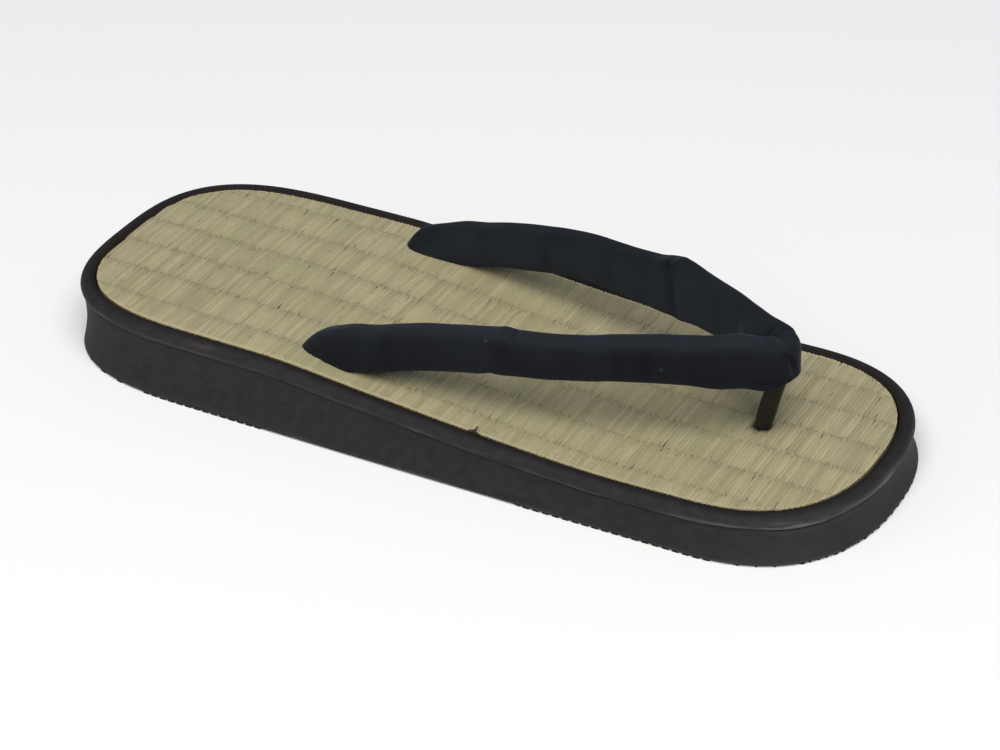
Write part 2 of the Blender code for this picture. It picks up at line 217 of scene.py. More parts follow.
class ZoriSizes(bpy.types.PropertyGroup):
    """Sizes of the finish: tread, mat, straps and post."""

    tread_depth: length("Tread depth", 0.00055, "How far the studs stand below the sole")
    stud_length: length("Stud length", 0.0023, "Length of a stud along the sole")
    stud_width: length("Stud width", 0.0013, "Width of a stud across the sole")
    stud_pitch: length("Stud pitch", 0.0032, "Distance from stud to stud along the sole")
    stud_row: length("Stud row", 0.0021, "Distance from row to row across the sole")
    stalk_pitch: length("Stalk pitch", 0.00125, "Distance from rush stalk to rush stalk")
    stalk_width: length("Stalk width", 0.00155, "Width of a rush stalk")
    stalk_bow: length("Stalk bow", 0.00034, "How far a stalk's ends dip under the next row")
    cord_width: length("Warp cord", 0.0007, "Diameter of the mat's warp cords")
    mat_gap: length("Mat gap", 0.00045, "Gap between the mat and the rim")
    seam_depth: length("Seam depth", 0.00045, "Depth of the closing seam under the straps")
    squareness: bpy.props.FloatProperty(
        name="Strap squareness", default=3.6, min=2.0, max=5.0,
        description="Squareness of the straps' section, 2 is an ellipse")
    fold_strength: bpy.props.FloatProperty(
        name="Fold strength", default=1.0, min=0.0, max=2.0, subtype="FACTOR",
        description="Depth of the straps' folds as a share of their own")


class ZoriColours(bpy.types.PropertyGroup):
    """Colours of the finish."""

    foam: colour("Foam", "#191719", "Foam of the sole")
    # Worn foam also paints the highlight along the toe's lip
    foam_wear_and_highlight: colour("Worn foam", "#6a676a", "Foam along worn edges")
    # Dusty foam also paints the light on the toe's front wall
    foam_dust_and_light: colour("Dusty foam", "#3b3739", "Foam with dust or a scuff on it")
    rush_dark: colour("Dark rush", "#898163", "Darkest stalks of the mat")
    rush_light: colour("Light rush", "#b1a986", "Lightest stalks of the mat")
    rush_green: colour("Green rush", "#95946f", "Stalks that keep some green")
    velvet: colour("Velvet", "#07090e", "Straps where the nap lies away")
    # Lighter velvet: where the nap is brushed up, and as painted light on the straps' tops and the +Y strap's
    # inner face
    velvet_lit: colour("Brushed velvet", "#2a2f35", "Straps where the nap is brushed up")
    post: colour("Post", "#060705", "Toe post")
    floor: colour("Floor", "#f2f2f1", "Studio floor")


def sizes():
    return bpy.context.scene.zori_sizes


def colours():
    return bpy.context.scene.zori_colours


# Shapes

def smooth(rows, column, at):
    """One column of a table at places along it, on a smooth curve that never overshoots its rows."""
    along = np.array([row.along for row in rows])
    value = np.array([getattr(row, column) for row in rows], float)
    at = np.clip(at, along[0], along[-1])
    slope = np.diff(value) / np.diff(along)
    rising = slope[:-1] * slope[1:] > 0
    total = np.where(rising, slope[:-1] + slope[1:], 1.0)
    inner = np.where(rising, 2 * slope[:-1] * slope[1:] / total, 0.0)
    tangent = np.concatenate([slope[:1], inner, slope[-1:]])
    span = np.clip(np.searchsorted(along, at, side="right") - 1, 0, len(slope) - 1)
    width = along[span + 1] - along[span]
    t = (at - along[span]) / width
    start = value[span] * (2 * t ** 3 - 3 * t ** 2 + 1) + tangent[span] * width * (t ** 3 - 2 * t ** 2 + t)
    end = value[span + 1] * (3 * t ** 2 - 2 * t ** 3) + tangent[span + 1] * width * (t ** 3 - t ** 2)
    return start + end


def along_of(x):
    """Place along the sole from heel, 0, to toe, 1."""
    return np.asarray(x) / SOLE_LENGTH + 0.5


def x_of(along):
    return (along - 0.5) * SOLE_LENGTH


def insole_top(x):
    """Height of the insole's upper surface at x."""
    return BALL_HEIGHT + (HEEL_HEIGHT - BALL_HEIGHT) * smooth(TOP_LINE, "lift", along_of(x))


def half_width(x):
    """Half width of the sole where its sides run straight."""
    t = np.clip((x - SIDE_START) / (SIDE_END - SIDE_START), 0.0, 1.0)
    return HEEL_HALF_WIDTH + (BALL_HALF_WIDTH - HEEL_HALF_WIDTH) * t + SIDE_BULGE * 4 * t * (1 - t)


Outline = namedtuple("Outline", "x y out_x out_y run")


def outline(step):
    """The rim's outer edge at even steps: heel tip, +Y side, toe tip, -Y side, with its outward directions."""
    turn = np.linspace(0.0, 0.5 * math.pi, 600)
    side = np.linspace(SIDE_START, SIDE_END, 300)[1:-1]
    (heel_in, heel_y), (toe_in, toe_y) = (
        (1 - np.cos(turn).clip(0) ** (2 / squareness), width * np.sin(turn) ** (2 / squareness))
        for width, squareness in ((HEEL_HALF_WIDTH, HEEL_SQUARENESS), (BALL_HALF_WIDTH, TOE_SQUARENESS)))
    heel_x = -0.5 * SOLE_LENGTH + HEEL_ROUND_LENGTH * heel_in
    toe_x = 0.5 * SOLE_LENGTH - TOE_ROUND_LENGTH * toe_in
    x = np.concatenate([heel_x, side, toe_x[::-1]])
    y = np.concatenate([heel_y, half_width(side), toe_y[::-1]])
    reach = np.concatenate([[0.0], np.cumsum(np.hypot(np.diff(x), np.diff(y)))])
    count = int(round(reach[-1] / step)) + 1
    even = np.linspace(0.0, reach[-1], count)
    x, y = np.interp(even, reach, x), np.interp(even, reach, y)
    run_x, run_y = np.gradient(x), np.gradient(y)
    size = np.hypot(run_x, run_y)
    out_x, out_y = -run_y / size, run_x / size
    out_x[[0, -1]], out_y[[0, -1]] = (-1.0, 1.0), 0.0
    back = slice(count - 2, 0, -1)
    return Outline(np.concatenate([x, x[back]]), np.concatenate([y, -y[back]]),
                   np.concatenate([out_x, out_x[back]]), np.concatenate([out_y, -out_y[back]]),
                   np.concatenate([even, 2 * reach[-1] - even[back]]))


def ring(edge, grow, height):
    """The outline grown outwards and lifted to height(x)."""
    x = edge.x + edge.out_x * grow
    return np.stack([x, edge.y + edge.out_y * grow, height(x)], 1)


def over(rise):
    """Height at x of what lies this far over the insole."""
    return lambda x: insole_top(x) + rise


def full_turn(count):
    return np.linspace(0, 2 * math.pi, count, endpoint=False)


def squared(wave, power):
    """A sine or cosine whose round is squared."""
    return np.sign(wave) * np.abs(wave) ** power


def bell(distance, width):
    """1 where there is no distance, and next to nothing beyond twice the width."""
    return np.exp(-(distance / width) ** 2)


def wander(seed, *places):
    """Smooth unevenness between -1 and 1: a few waves whose lengths don't match, over places in radians."""
    rng = np.random.default_rng(seed)
    total = 0.0
    for _ in range(6):
        pace = rng.uniform(0.5, 1.6, len(places)) * rng.choice((-1.0, 1.0), len(places))
        total = total + np.sin(sum(p * f for p, f in zip(places, pace)) + rng.uniform(0, 2 * math.pi))
    return total / 6


NOSE_X = x_of(NOSE_SHARE)
NOSE_HEIGHT = float(insole_top(NOSE_X)) + NOSE_RISE_SHARE * STRAP_RISE


def crease_height(x):
    """Height of the crease under the rim's bead."""
    drop = math.sqrt(BEAD_RADIUS ** 2 - (BEAD_RADIUS - CREASE_DEPTH) ** 2)
    return insole_top(x) + RIM_CROWN - BEAD_RADIUS - drop


def foot_flare(x):
    return FOOT_FLARE * smooth(FOOT_LINE, "flare", along_of(x))


def loft(rings, caps):
    """Points and outward faces of a closed skin over rings of points, with strips or one face at its ends."""
    rows, sides = rings.shape[:2]
    index = np.arange(rows * sides).reshape(rows, sides)
    low, high = index[:-1], index[1:]
    quads = np.stack([low, np.roll(low, -1, 1), np.roll(high, -1, 1), high], -1).reshape(-1, 4)
    faces = quads.tolist()
    for loop, turned in ((index[0], True), (index[-1], False)):
        ends = [loop.tolist()]
        if caps == "strips":
            half = sides // 2
            ends = [[loop[0], loop[1], loop[-1]], [loop[half - 1], loop[half], loop[half + 1]]]
            ends += [[loop[k], loop[k + 1], loop[-k - 1], loop[-k]] for k in range(1, half - 1)]
        faces += [list(map(int, face[::-1] if turned else face)) for face in ends]
    points = rings.reshape(-1, 3)
    a, b, c, d = (points[quads[:, k]] for k in range(4))
    volume = np.einsum("ij,ij->i", a, np.cross(b, c) + np.cross(c, d)).sum()
    if volume < 0:
        faces = [face[::-1] for face in faces]
    return points, faces


def unit(vectors):
    return vectors / np.linalg.norm(vectors, axis=-1, keepdims=True)


def tube(path, radius, sides):
    """Rings of a round tube along a path of points."""
    path = np.asarray(path, float)
    run = unit(np.gradient(path, axis=0))
    near = np.array((0.0, 0.0, 1.0)) if abs(run[:, 2]).max() < 0.9 else np.array((0.0, 1.0, 0.0))
    across = unit(np.cross(run, near))
    over = np.cross(across, run)
    turn = full_turn(sides)
    reach = np.broadcast_to(radius, len(path))[:, None, None]
    return path[:, None] + reach * (across[:, None] * np.cos(turn)[None, :, None]
                                    + over[:, None] * np.sin(turn)[None, :, None])


def new_piece(name, parts, material, sharp=50.0):
    """A piece at the origin from parts of points and faces, shaded smooth, in its material and slot."""
    points, faces, first = [], [], 0
    for part_points, part_faces in parts:
        points.append(part_points)
        faces += [[first + k for k in face] for face in part_faces]
        first += len(part_points)
    mesh = bpy.data.meshes.new(name)
    mesh.from_pydata(np.concatenate(points).tolist(), [], faces)
    mesh.validate()
    piece = bpy.data.objects.new(name, mesh)
    bpy.context.scene.collection.objects.link(piece)
    if material:
        mesh.materials.append(material)
    mesh.shade_smooth()
    mesh.set_sharp_from_angle(angle=math.radians(sharp))
    return piece


def mark(mesh, name, values):
    """Stores a value at each point, for the material to read."""
    attribute = mesh.attributes.new(name, "FLOAT", "POINT")
    attribute.data.foreach_set("value", np.ascontiguousarray(values, np.float32).ravel())


def points_of(mesh):
    flat = np.zeros(len(mesh.vertices) * 3, np.float32)
    mesh.vertices.foreach_get("co", flat)
    return flat.reshape(-1, 3).astype(float)


def move_points(mesh, points):
    mesh.vertices.foreach_set("co", np.ascontiguousarray(points, np.float32).ravel())
    mesh.update()


def trim_to_outline(points, grow, flare=0.0, reach=0.0):
    """Brings what stands outside the grown outline, or within reach of it, to it, and says which was moved."""
    edge = outline(0.6 * MM)
    far = grow + flare * foot_flare(edge.x)
    limit = np.stack([edge.x + edge.out_x * far, edge.y + edge.out_y * far], 1)
    out = np.stack([edge.out_x, edge.out_y], 1)
    moved = np.zeros(len(points), bool)
    for first in range(0, len(points), 4000):
        flat = points[first:first + 4000, :2]
        nearest = ((flat[:, None] - limit[None]) ** 2).sum(2).argmin(1)
        over = ((flat - limit[nearest]) * out[nearest]).sum(1)
        outside = over > -reach
        points[first:first + 4000, :2] -= np.where(outside, over, 0.0)[:, None] * out[nearest]
        moved[first:first + 4000] = outside
    return points, moved


# Nodes

def feed(tree, node, values):
    """Sets a node's inputs, each to another node's socket, an sRGB hex colour, a colour or a plain value."""
    for name, value in values.items():
        inlet = node.inputs[name]
        if isinstance(value, bpy.types.NodeSocket):
            tree.links.new(value, inlet)
            continue
        if isinstance(value, str) and value.startswith("#"):
            value = rgb(value)
        inlet.default_value = (*value, 1.0) if inlet.type == "RGBA" else value


def add(tree, kind, *first, values=None, out=0, **named):
    """Adds a node and gives one of its outputs. A short kind is a shader node's. First are inputs in order.

    Of the named ones, those with a capital are inputs, with _ for a space, and the others are settings.
    """
    node = tree.nodes.new(kind if "Node" in kind else "ShaderNode" + kind)
    inputs = {**dict(enumerate(first)), **(values or {})}
    for name, value in named.items():
        if name[0].isupper():
            inputs[name.replace("_", " ")] = value
        else:
            setattr(node, name, value)
    feed(tree, node, inputs)
    return node.outputs[out] if node.outputs else None


def per(*sizes_mm):
    """Pattern scale for features of this size in millimetres, on coordinates in metres: one, or three."""
    scale = tuple(1.0 / (size * MM) for size in sizes_mm)
    return scale if len(scale) > 1 else scale[0]


def new_material(name, finish, **constants):
    """A material with one shader, whose constants stand on its own sockets.

    Finish gives the linked values, the ground's colour and the layers over it, each a share and a colour.
    """
    material = bpy.data.materials.new(name)
    material.use_nodes = True
    tree = material.node_tree
    place = add(tree, "TexCoord", out="Object")
    linked, ground, *layers = finish(partial(add, tree), place, colours())
    for share, over in layers:
        ground = add(tree, "Mix", values={0: share, 6: ground, 7: over}, out=2, data_type="RGBA")
    constants = {key.replace("_", " "): value for key, value in constants.items()}
    feed(tree, tree.nodes["Principled BSDF"], {"Base Color": ground, **linked, **constants})
    return material


def moulded_foam(node, place, c):
    """Moulded EVA foam: a matte skin with fine pores, chalky where it is rubbed and dusty near the floor, with
    painted light on the toe's front wall and a painted highlight along the toe's lip.
    """
    cloud = node("TexNoise", place, Scale=per(22), Detail=4.0)
    # Real pores are about 0.2 mm across: coarser here, so that they show
    grain = node("TexNoise", place, Scale=per(0.55), Detail=3.0)
    smear = node("Mapping", place, Scale=per(16, 16, 1.6))
    smear = node("TexNoise", smear, Scale=1.0, Detail=5.0, Roughness=0.65)
    mottle = node("TexNoise", place, Scale=per(3.5), Detail=5.0, Roughness=0.7)
    wear_and_highlight, shade, dust_and_toe_light = (node("Attribute", out="Fac", attribute_name=name)
                         for name in ("wear_and_highlight", "shade", "dust_and_toe_light"))
    broken = node("MapRange", smear, From_Min=0.40, From_Max=0.62)
    rub_and_highlight = node("Math", wear_and_highlight, broken, operation="MULTIPLY")
    soft = node("MapRange", cloud, From_Min=0.30, From_Max=0.70, To_Min=0.35)
    soft = node("Math", soft, dust_and_toe_light, operation="MULTIPLY")
    mottle = node("MapRange", mottle, From_Min=0.35, From_Max=0.70, To_Max=0.22)
    streak = node("MapRange", smear, From_Min=0.55, From_Max=0.80, To_Max=0.30)
    # The scuff on the bead near the heel
    scuff = node("Mapping", place, Location=(0.0720, 0.0483, -0.0232))
    scuff = node("Mapping", scuff, Scale=per(6.5, 3.0, 1.3))
    scuff = node("VectorMath", scuff, out="Value", operation="LENGTH")
    scuff = node("MapRange", scuff, From_Min=1.2, From_Max=0.5)
    scuff = node("Math", scuff, broken, operation="MULTIPLY")
    rough = node("MapRange", cloud, To_Min=0.62, To_Max=0.86)
    pores = node("Bump", Strength=0.35, Distance=0.10 * MM, Height=grain)
    uneven = node("Bump", Strength=0.35, Distance=0.35 * MM, Height=smear, Normal=pores)
    return ({"Roughness": rough, "Normal": uneven}, c.foam, (soft, c.foam_dust_and_light), (mottle, "#3d393a"),
            (streak, c.foam_dust_and_light), (rub_and_highlight, c.foam_wear_and_highlight), (scuff, "#393332"), (shade, "#17110c"))


def woven_rush(node, place, c):
    """Dried igusa rush, woven: split stalks with a waxy gloss, each of its own tone, fibres along it."""
    tone, end, cut_and_highlight, shade = (node("Attribute", out="Fac", attribute_name=name)
                             for name in ("tone", "end", "cut_and_highlight", "shade"))
    # Real fibres are about 0.1 mm wide: coarser here, so that they show
    fibre = node("Mapping", place, Scale=per(0.45, 11, 0.6))
    fibre = node("TexNoise", fibre, Scale=1.0, Detail=3.0, Roughness=0.6)
    patch = node("TexNoise", place, Scale=per(26), Detail=3.0)
    fleck = node("Mapping", place, Scale=per(0.9, 3.2, 0.9))
    fleck = node("TexNoise", fleck, Scale=1.0)
    level = node("Math", fibre, 1.2, -0.60, operation="MULTIPLY_ADD")
    level = node("Math", tone, level, use_clamp=True)
    green = node("MapRange", patch, From_Min=0.48, From_Max=0.68, To_Max=0.45)
    spot = node("MapRange", fleck, From_Min=0.66, From_Max=0.74, To_Max=0.45)
    # Painted shade where each stalk dips under the next row
    row = node("MapRange", fibre, From_Min=0.40, From_Max=0.62, To_Max=0.55)
    row = node("Math", row, end, operation="MULTIPLY")
    rough = node("MapRange", fibre, To_Min=0.42, To_Max=0.68)
    ribs = node("Bump", Strength=0.5, Distance=0.12 * MM, Height=fibre)
    # Cut stalk ends paler, partly painted highlight
    return ({"Roughness": rough, "Normal": ribs}, c.rush_dark, (level, c.rush_light), (green, c.rush_green),
            (spot, "#5d5238"), (row, "#5d5238"), (cut_and_highlight, "#b9ae88"), (shade, "#241c12"))


def hemp_cord(node, place, c):
    """Twisted hemp cord of the warp: dull, brownish, with a slanting twist."""
    twist = node("Mapping", place, Rotation=(0.6, 0.0, 0.5), Scale=per(0.9, 0.5, 0.5))
    strand = node("TexNoise", twist, Scale=1.0)
    bump = node("Bump", Strength=0.6, Distance=0.15 * MM, Height=strand)
    return {"Normal": bump}, "#6a6047", (strand, "#928668")


def backing_board(node, place, c):
    """Rush dust and glue on the board under the mat: dark straw, matte."""
    grain = node("TexNoise", place, Scale=per(1.4), Detail=4.0)
    bump = node("Bump", Strength=0.4, Distance=0.2 * MM, Height=grain)
    return {"Normal": bump}, "#3f3724", (grain, "#6e6446")


def cotton_velvet(node, place, c):
    """Woven cotton velvet: deep blue-black, matte, a soft sheen at grazing light, nap brush-marked in places,
    and painted light and shade from the straps' mark.
    """
    brushed_and_lit = node("TexNoise", place, Scale=per(15), Detail=3.0)
    # Real nap is about 0.1 mm: coarser here, so that it shows
    nap = node("TexNoise", place, Scale=per(0.5), Detail=3.0, Roughness=0.6)
    # The straps' mark: painted light on faces turned up and on the +Y strap's inner face, painted shade in
    # fold troughs
    painted_light_and_shade = node("Attribute", out="Fac", attribute_name="brushed_and_lit")
    level = node("MapRange", brushed_and_lit, From_Min=0.38, From_Max=0.66, To_Max=0.12)
    level = node("Math", painted_light_and_shade, 0.8, level, operation="MULTIPLY_ADD")
    level = node("Math", nap, 0.14, level, operation="MULTIPLY_ADD", use_clamp=True)
    layers = [(level, c.velvet_lit)]
    for speck in ((0.0700, -0.0205, 0.0398), (0.0199, -0.0338, 0.0430)):
        lint = node("VectorMath", place, speck, out="Value", operation="DISTANCE")
        lint = node("MapRange", lint, From_Min=0.8 * MM, From_Max=0.2 * MM, To_Max=0.16)
        layers.append((lint, "#5f6a70"))
    rough = node("MapRange", brushed_and_lit, To_Min=0.80, To_Max=0.98)
    fuzz = node("Bump", Strength=0.45, Distance=0.15 * MM, Height=nap)
    crush = node("Bump", Strength=0.30, Distance=0.60 * MM, Height=brushed_and_lit, Normal=fuzz)
    return {"Roughness": rough, "Normal": crush}, c.velvet, *layers


def moulded_rubber(node, place, c):
    """Moulded rubber cord: brown-black, satin, with faint lines along its length."""
    along = node("Mapping", place, Rotation=(0.0, -POST_LEAN, 0.0), Scale=per(0.6, 0.6, 8))
    lines = node("TexNoise", along, Scale=1.0, Detail=3.0)
    rough = node("MapRange", lines, To_Min=0.38, To_Max=0.58)
    bump = node("Bump", Strength=0.3, Distance=0.08 * MM, Height=lines)
    return {"Roughness": rough, "Normal": bump}, c.post, (lines, "#11120e")


def waxed_thread(node, place, c):
    """Waxed cotton thread: brown-black, a little glossy."""
    return {}, "#14100e", (node("TexNoise", place, Scale=per(0.3)), "#352c27")


def studio_paper(node, place, c):
    """Matt studio paper: pale and even, with the faintest cloud."""
    cloud = node("TexNoise", place, Scale=per(300))
    return {}, c.floor, (node("Math", cloud, 0.05, operation="MULTIPLY"), "#dcdcdb")


def new_tree(name, inputs):
    """A geometry tree with inputs besides its points and material, and the outputs of its input node."""
    tree = bpy.data.node_groups.new(name, "GeometryNodeTree")
    for title, kind in {"Geometry": "Geometry", **inputs, "Material": "Material"}.items():
        tree.interface.new_socket(name=title, in_out="INPUT", socket_type="NodeSocket" + kind)
    tree.interface.new_socket(name="Geometry", in_out="OUTPUT", socket_type="NodeSocketGeometry")
    return tree, tree.nodes.new("NodeGroupInput").outputs


def close_tree(tree, instances, material):
    """Ends a geometry tree: its instances made real, in their material."""
    real = add(tree, "GeometryNodeRealizeInstances", instances)
    done = add(tree, "GeometryNodeSetMaterial", real, Material=material)
    add(tree, "NodeGroupOutput", Geometry=done)


def grow_on(piece, tree, values):
    """Runs a node tree on a piece of points and keeps the result as a plain mesh."""
    modifier = piece.modifiers.new(tree.name, "NODES")
    modifier.node_group = tree
    for item in tree.interface.items_tree:
        if item.item_type == "SOCKET" and item.in_out == "INPUT" and item.name in values:
            modifier[item.identifier] = values[item.name]
    bpy.context.view_layer.update()
    depsgraph = bpy.context.evaluated_depsgraph_get()
    mesh = bpy.data.meshes.new_from_object(piece.evaluated_get(depsgraph))
    piece.modifiers.remove(modifier)
    piece.data = mesh
    return mesh


def scattered(name, points, marks):
    """A piece that is only points yet, with values for a node tree to read."""
    piece = new_piece(name, [(points, [])], None)
    for key, values in marks.items():
        mark(piece.data, key, values)
    return piece


# Operators

class ZORI_OT_sole(bpy.types.Operator):
    """Build the foam sole with its bead, crease, waisted wall and recess"""

    bl_idname = "zori.sole"
    bl_label = "Foam sole"

    def execute(self, context):
        tread = sizes().tread_depth
        foot = tread + 0.25 * MM
        edge = outline(1.2 * MM)
        run = edge.run / MM
        # Unevenness: the wall's ripples, how far the crease wanders and where its lip is torn, more at the toe
        ripple = 0.10 * MM * wander(3, run / 9) + 0.06 * MM * wander(4, run / 3)
        shift = 0.22 * MM * wander(5, run / 7) + 0.10 * MM * wander(6, run / 1.7)
        torn = np.clip(0.62 + 0.75 * wander(7, run / 4.5), 0.0, 1.0)
        front = np.clip((edge.x - 0.080) / 0.045, 0.0, 1.0)
        shift = shift * (1 + 1.3 * front)
        rings, marks = [], {"wear_and_highlight": [], "shade": [], "dust_and_toe_light": []}

        def lay(grow, height, wear_and_highlight=0.0, shade=0.0, lift=0.0, dust_and_light_share=1.0):
            rings.append(ring(edge, grow, lambda x: height(x) + lift))
            # Dust on the wall and bead; its rise towards the toe front is partly painted light
            for row, value in zip(marks.values(), (wear_and_highlight, shade, dust_and_light_share * (0.12 + 0.72 * front ** 2))):
                row.append(value + 0 * edge.x)

        flare = foot_flare(edge.x)
        # The wall from foot to crease, the crease, the bead, and the rim's inner side down to the recess
        lay(flare - 0.9 * MM, lambda x: tread + 0 * x)
        lay(flare - 0.25 * MM, lambda x: tread + 0 * x, 0.1)
        for share in np.linspace(0.0, 0.97, 24):
            bulge = flare * (1 - share) - CREASE_DEPTH * share
            swell = math.sin(math.pi * share)
            bulge = bulge - WAIST_SHARE * crease_height(edge.x) * swell
            # Wear on the foot's edge, and at the toe a light band under the bead, partly painted highlight
            rub_and_highlight = max(0.0, 1 - share / 0.06) * 0.2 + 0.5 * front * torn * share ** 12
            lay(bulge + ripple * swell, lambda x: foot + (crease_height(x) - foot) * share,
                rub_and_highlight, max(0.0, share - 0.88) / 0.09 * 0.28, shift * share ** 8, 0.55)
        lay(-CREASE_DEPTH - 0.10 * MM - 0.25 * MM * torn, crease_height, 0.0, 0.30 * torn, shift - 0.10 * MM)
        lay(-CREASE_DEPTH - 0.05 * MM - 0.20 * MM * torn, crease_height, 0.0, 0.30 * torn, shift + 0.16 * MM)
        start = -math.acos(1 - CREASE_DEPTH / BEAD_RADIUS)
        for turn in np.linspace(start, 0.5 * math.pi, 15):
            lip = bell(turn - start - 0.10, 0.13)
            # Wear along the bead's lip, with a painted highlight along it at the toe
            edge_wear_and_highlight = bell(turn - start - 0.45, 0.28 + 0.20 * front)
            fade = bell(turn - start, 0.5)
            grow = -BEAD_RADIUS * (1 - math.cos(turn)) + 0.20 * MM * lip * torn + 0.5 * ripple * math.cos(turn)
            rise = RIM_CROWN - BEAD_RADIUS * (1 - math.sin(turn))
            lay(grow, over(rise), edge_wear_and_highlight * (0.10 + 0.25 * torn + 1.2 * front * torn), 0.0,
                shift * fade + 0.14 * MM * lip, min(1.0, max(0.0, 1.1 - turn)))
        shoulder = 0.9 * MM
        for inward, dark, dip in ((2.8, 0.15, 0.02), (3.3, 0.60, 0.10), (3.8, 0.95, 0.22)):
            lay(-inward * MM, over(RIM_CROWN - dip * MM), 0.0, dark, dust_and_light_share=0.0)
        for turn in np.linspace(0.0, 0.5 * math.pi, 7):
            sunk = RIM_CROWN - 0.28 * MM - shoulder * (1 - math.cos(turn))
            dark = 0.95 + 0.05 * (1 - math.cos(turn))
            lay(-RIM_WIDTH + shoulder * (1 - math.sin(turn)), over(sunk), 0.0, dark, dust_and_light_share=0.0)
        for drop in (1.2 * MM, INSOLE_THICKNESS + 0.3 * MM):
            lay(-RIM_WIDTH, over(-drop), 0.0, 1.0, dust_and_light_share=0.0)
        foam = new_material("moulded_eva_foam", moulded_foam, Specular_IOR_Level=0.25)
        piece = new_piece("foam_sole", [loft(np.array(rings), "strips")], foam)
        for name, values in marks.items():
            mark(piece.data, name, np.array(values))
        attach(piece, "root")
        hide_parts("sole")
        return {"FINISHED"}


class ZORI_OT_tread(bpy.types.Operator):
    """Cover the underside with rows of small studs, cut off at the sole's edge"""

    bl_idname = "zori.tread"
    bl_label = "Tread studs"

    def execute(self, context):
        s = sizes()
        tree, given = new_tree("Tread studs", {"Length": "Float", "Width": "Float", "Depth": "Float"})
        node = partial(add, tree)
        stud = node("GeometryNodeMeshCone", Vertices=4, Radius_Top=STUD_ROOT, Radius_Bottom=STUD_TIP,
                    Depth=given["Depth"], out="Mesh")
        stud = node("GeometryNodeTransform", stud, Rotation=(0.0, 0.0, 0.25 * math.pi))
        size = node("CombineXYZ", X=given["Length"], Y=given["Width"], Z=1.0)
        studs = node("GeometryNodeInstanceOnPoints", given["Geometry"], Instance=stud, Scale=size)
        close_tree(tree, studs, given["Material"])

        places = []
        for row in range(-STUD_ROWS, STUD_ROWS + 1):
            xs = np.arange(-0.5 * SOLE_LENGTH - 2 * MM, 0.5 * SOLE_LENGTH + 3 * MM, s.stud_pitch)
            xs = xs + (row % 2) * 0.5 * s.stud_pitch
            places += [(x, row * s.stud_row, 0.0) for x in xs]
        places = np.array(places)
        moved = trim_to_outline(places.copy(), -0.45 * MM, 1.0)[1]
        places = places[~moved]
        piece = scattered("tread_studs", places, {})
        mesh = grow_on(piece, tree, {"Length": s.stud_length, "Width": s.stud_width,
                                     "Depth": s.tread_depth + 0.25 * MM,
                                     "Material": bpy.data.materials["moulded_eva_foam"]})
        points = points_of(mesh)
        move_points(mesh, trim_to_outline(points, -0.08 * MM, 1.0, 0.75 * MM)[0])
        mesh.shade_flat()
        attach(piece, "root")
        return {"FINISHED"}


